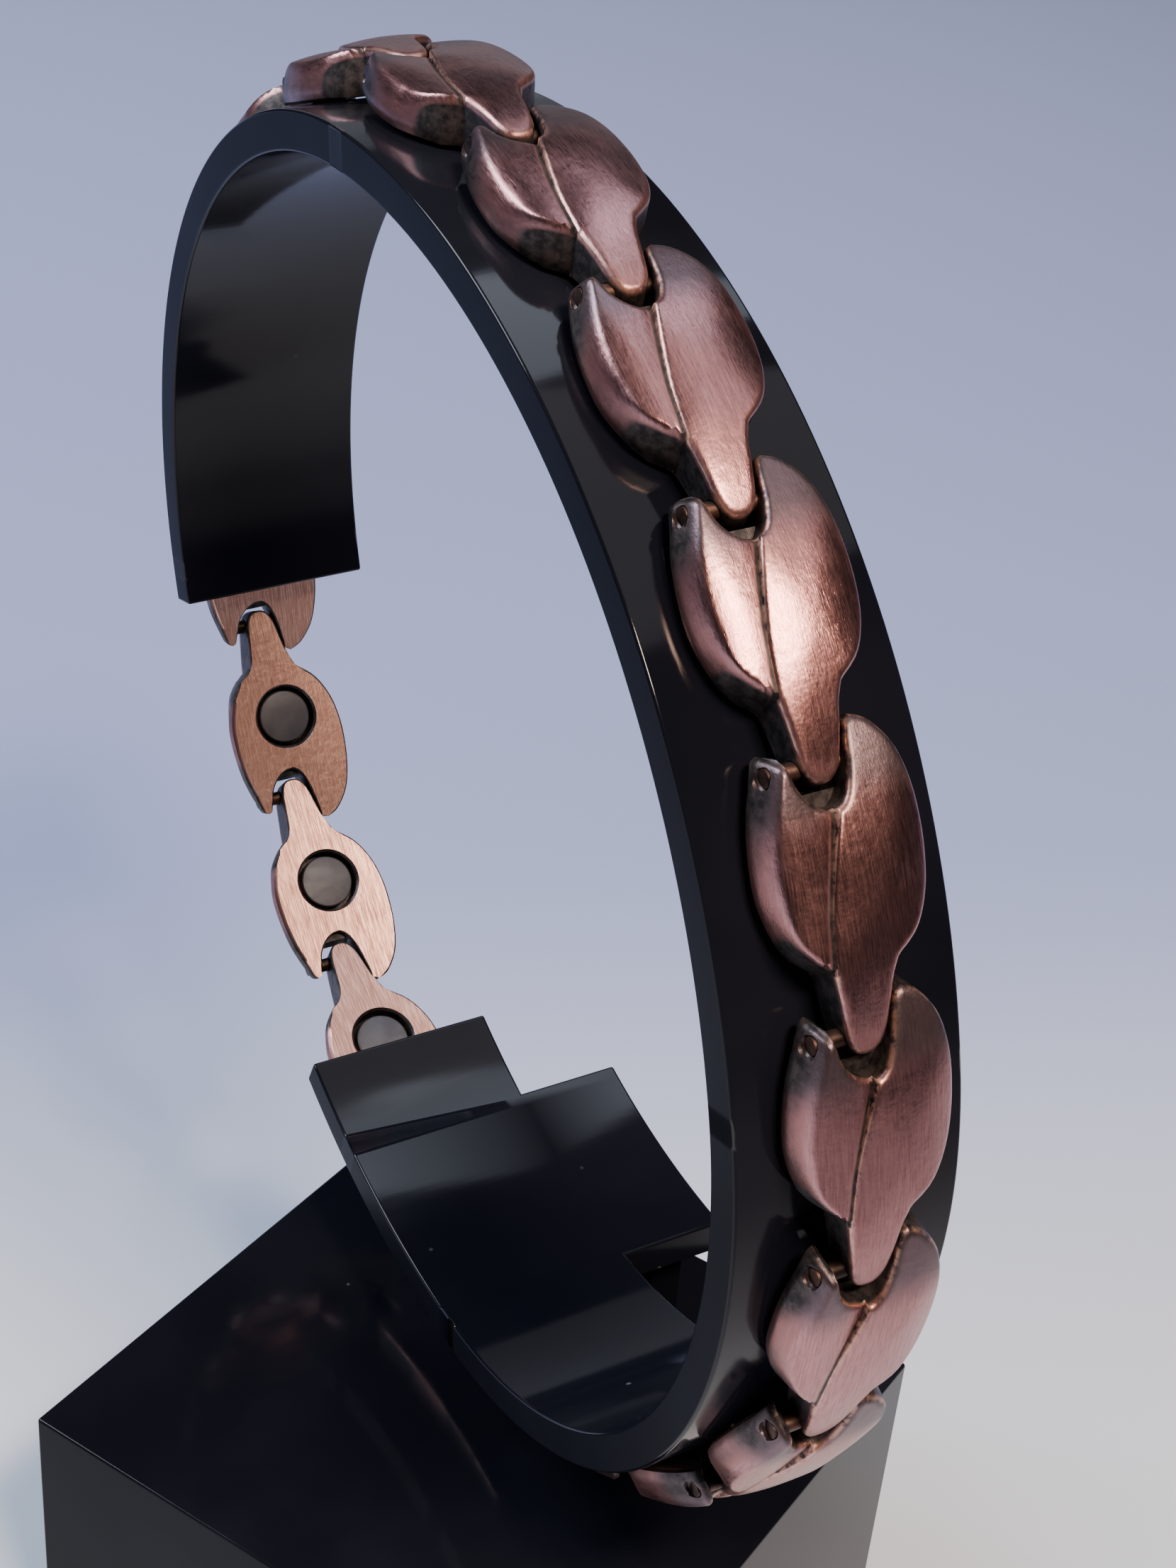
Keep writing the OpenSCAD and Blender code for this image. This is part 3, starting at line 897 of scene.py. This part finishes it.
antique_copper = antique_copper_finish()
to_metres = Matrix.Scale(MM, 4)
for number in range(1, link_count + 1):
    link = bmesh.new()
    link.from_mesh(leaf_mesh)
    layer = link.verts.layers.float_vector["place"]
    for vert in link.verts:
        vert[layer] = vert[layer] + Vector((0.0, 0.0, 20.26 * number))
    lie = to_metres @ chord_place(hinge(number - 1), hinge(number))
    bmesh.ops.transform(link, matrix=lie, verts=link.verts)
    name = "link_%02d" % number
    weigh_normals(finished("leaf_" + name, link, antique_copper, [name]))
bpy.data.meshes.remove(leaf_mesh)

# The magnets: one small round magnet pressed into the recess under each link, plated dark grey.
magnet_d, magnet_h, magnet_sink = 3.2, 0.9, 0.3


def grey_plate_finish():
    material, start = new_finish("grey_plate")
    place = start.node("TexCoord", {}, {}, out=3)
    cloud = speckle(start, place, 600.0, 3.0)
    scuffs = speckle(start, stretched(start, place, (3000.0, 500.0, 900.0)), 1.0, 3.0)
    tone = start.tint(cloud.band(0.35, 0.65), (0.11, 0.11, 0.125, 1), (0.15, 0.15, 0.165, 1))
    bump = start.node("Bump", {}, {"Strength": 0.15, "Distance": 0.00003, "Height": scuffs})
    shader = start.node(
        "BsdfPrincipled",
        {},
        {
            "Base Color": tone,
            "Metallic": 0.5,
            "Roughness": 0.38 + scuffs * 0.2,
            "Normal": bump,
        },
    )
    start.node("OutputMaterial", {}, {"Surface": shader})
    return material


grey_plate = grey_plate_finish()
for number in range(1, link_count + 1):
    magnet = rod_mesh(
        magnet_d / 2, magnet_h, 48, (0.0, magnet_along, magnet_sink + magnet_h / 2), (0.0, 0.0, 1.0)
    )
    bevelled(magnet, 0.1, 3, 50.0)
    lie = to_metres @ chord_place(hinge(number - 1), hinge(number))
    bmesh.ops.transform(magnet, matrix=lie, verts=magnet.verts)
    name = "magnet_%02d" % number
    finished("disc_" + name, magnet, grey_plate, [name])

# The hinge pins: copper wire, cut to length and pressed through each tongue and notch. Their
# solids are right as they are; their near-black copper colour is painted shade, for the dark inside
# the bores.
def dark_copper_finish():
    material, start = new_finish("dark_copper")
    place = start.node("TexCoord", {}, {}, out=3)
    cloud = speckle(start, place, 900.0, 3.0)
    rings = speckle(start, stretched(start, place, (900.0, 5200.0, 900.0)), 1.0, 2.0)
    # Near-black copper: painted shade for the pin ends sitting down in the bores.
    tone = start.tint(cloud.band(0.35, 0.65), (0.03, 0.022, 0.02, 1), (0.13, 0.075, 0.06, 1))
    bump = start.node("Bump", {}, {"Strength": 0.2, "Distance": 0.00003, "Height": rings})
    shader = start.node(
        "BsdfPrincipled",
        {},
        {
            "Base Color": tone,
            "Metallic": 0.9,
            "Roughness": 0.35 + cloud * 0.2,
            "Normal": bump,
        },
    )
    start.node("OutputMaterial", {}, {"Surface": shader})
    return material


dark_copper = dark_copper_finish()
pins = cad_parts["hinge_pins"]
pins.data.materials.clear()
pins.data.materials.append(dark_copper)

# The clasp: a plain curved copper bar on the hidden side, with a tongue at one end and two horns
# at the other, its edges rounded and its face brushed.
clasp_w, clasp_h, clasp_corner_r, clasp_horn, clasp_tip, clasp_neck = 6.4, 2.6, 1.1, 1.1, 0.15, 2.9
clasp_half = (hinge(link_count) - hinge(0)).length / 2
body_low, body_high = clasp_neck - clasp_half, clasp_half + clasp_horn


def upright(edge):
    return abs((edge.verts[0].co - edge.verts[1].co).normalized().z) > 0.9


bar = box_mesh((-clasp_w / 2, body_low, 0.0), (clasp_w / 2, body_high, clasp_h))
bevelled(bar, clasp_corner_r, 8, 60.0, upright)
neck = box_mesh(
    (tongue_x - tongue_w / 2, clasp_tip - clasp_half - tongue_w / 2, 0.0),
    (tongue_x + tongue_w / 2, body_low + 1.0, clasp_h),
)
bevelled(neck, 0.8, 8, 60.0, lambda edge: upright(edge) and edge.verts[0].co.y < body_low)
slot = box_mesh(
    (notch_x - 0.51 * notch_w, clasp_half - notch_depth, -1.0),
    (notch_x + 0.58 * notch_w, body_high + 1.0, clasp_h + 1.0),
)
bevelled(slot, 1.1, 8, 60.0, lambda edge: upright(edge) and edge.verts[0].co.y < clasp_half)
bar = joined(joined(bar, [neck], "UNION"), [slot])
for k in range(1, 30):
    level = -clasp_half + 2 * clasp_half * k / 30
    bmesh.ops.bisect_plane(
        bar,
        geom=bar.verts[:] + bar.edges[:] + bar.faces[:],
        dist=0.0001,
        plane_co=(0.0, level, 0.0),
        plane_no=(0.0, 1.0, 0.0),
    )
bar_r = side_path
for vert in bar.verts:
    vert.co.z += math.sqrt(bar_r ** 2 - vert.co.y ** 2) - math.sqrt(bar_r ** 2 - clasp_half ** 2)
bevelled(bar, 0.3, 3, 50.0)
bores = [
    rod_mesh(bore_r, 2 * link_w, 28, (0.0, along, pin_z), (1.0, 0.0, 0.0))
    for along in (clasp_half, -clasp_half)
]
bar = joined(bar, bores)
place_layer = bar.verts.layers.float_vector.new("place")
wear_and_light_layer = bar.verts.layers.float_vector.new("wear")
for vert in bar.verts:
    vert[place_layer] = vert.co
    top = clasp_h + math.sqrt(bar_r ** 2 - vert.co.y ** 2) - math.sqrt(bar_r ** 2 - clasp_half ** 2)
    side_gap = clasp_w / 2 - abs(vert.co.x)
    vert[wear_and_light_layer] = (min(max(side_gap, 0.0), 1.5), -1.5, top - vert.co.z)
bmesh.ops.transform(
    bar, matrix=to_metres @ chord_place(hinge(link_count), hinge(0)), verts=bar.verts
)
finished("clasp_bar", bar, antique_copper, ["clasp"])

# The floor: a wide pale table top, seamless, its colour with painted light: lighter near and in
# front of the object, a little darker far back, and darker past the object toward +x as painted
# shade.
floor_finish, start = new_finish("pale_table")
place = start.node("TexCoord", {}, {}, out=3)
mottle = speckle(start, place, 2.0, 2.0)
across, away = place.parts()[:2]
depth = across - away * 0.4
lit = start.tint(mottle, (0.42, 0.49, 0.80, 1), (0.46, 0.53, 0.84, 1))
# Painted light: a little darker far back, and lighter near and in front of the object.
lit = start.tint(depth.band(-0.40, -0.12), lit, (0.37, 0.45, 0.77, 1))
lit = start.tint(depth.band(-0.095, 0.0), lit, (0.76, 0.86, 1.0, 1))
# Painted shade past the object toward +x.
shade = start.tint(across.band(0.018, 0.14), lit, (0.25, 0.27, 0.33, 1))
shader = start.node("BsdfPrincipled", {}, {"Base Color": shade, "Roughness": 0.6})
start.node("OutputMaterial", {}, {"Surface": shader})
floor_mesh = bmesh.new()
bmesh.ops.create_grid(floor_mesh, x_segments=2, y_segments=2, size=3.0)
floor_data = bpy.data.meshes.new("table_top")
floor_mesh.to_mesh(floor_data)
floor_mesh.free()
floor_data.materials.append(floor_finish)
floor = bpy.data.objects.new("table_top", floor_data)
bpy.context.scene.collection.objects.link(floor)
